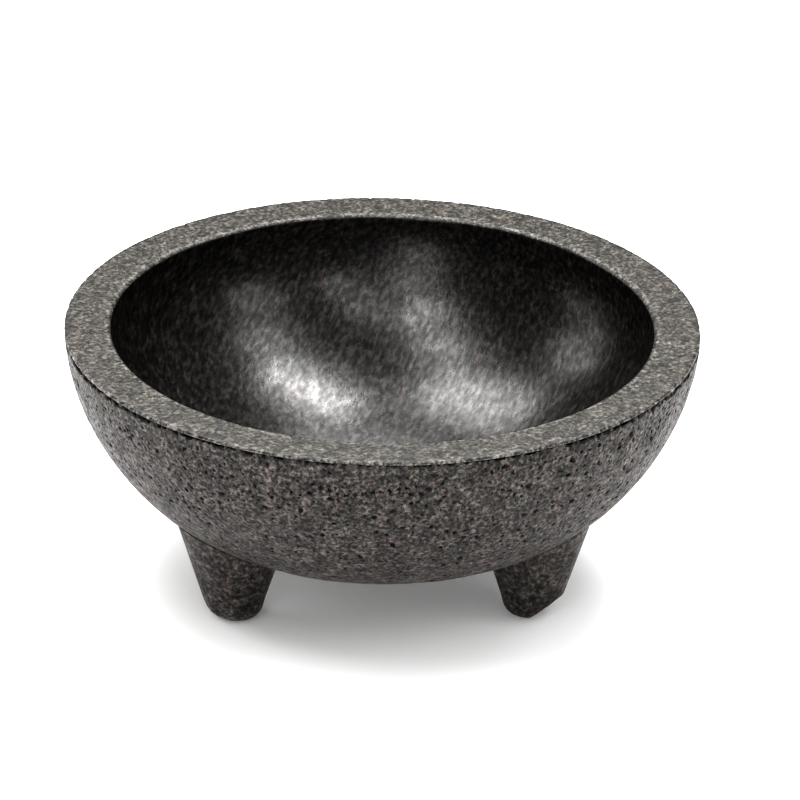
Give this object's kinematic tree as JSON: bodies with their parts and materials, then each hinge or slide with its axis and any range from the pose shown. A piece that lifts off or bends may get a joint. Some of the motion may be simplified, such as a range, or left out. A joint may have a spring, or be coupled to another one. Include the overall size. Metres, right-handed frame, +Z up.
{
  "type": "molcajete",
  "caption": "Shallow round serving molcajete with a smooth cavity, a broad flat rim, a pitted double wall and short tapered legs.",
  "frame": {"origin": "on the bowl's axis, in the plane that the feet stand on", "axes": "+Z up along the bowl's axis, -Y towards the gap between the two front legs, +Y towards the rear leg"},
  "size_m": [0.21, 0.21, 0.092],
  "materials": {
    "inner_bowl": "smooth, fine-grained granite look with a low satin gloss",
    "outer_shell": "rough granite look, speckled and closely pitted",
    "leg": "smooth, darker granite look, dull"
  },
  "bodies": {
    "root": {"inner_bowl": "inner_bowl", "outer_shell": "outer_shell", "leg_front_left": "leg", "leg_front_right": "leg", "leg_rear": "leg"}
  },
  "joints": []
}
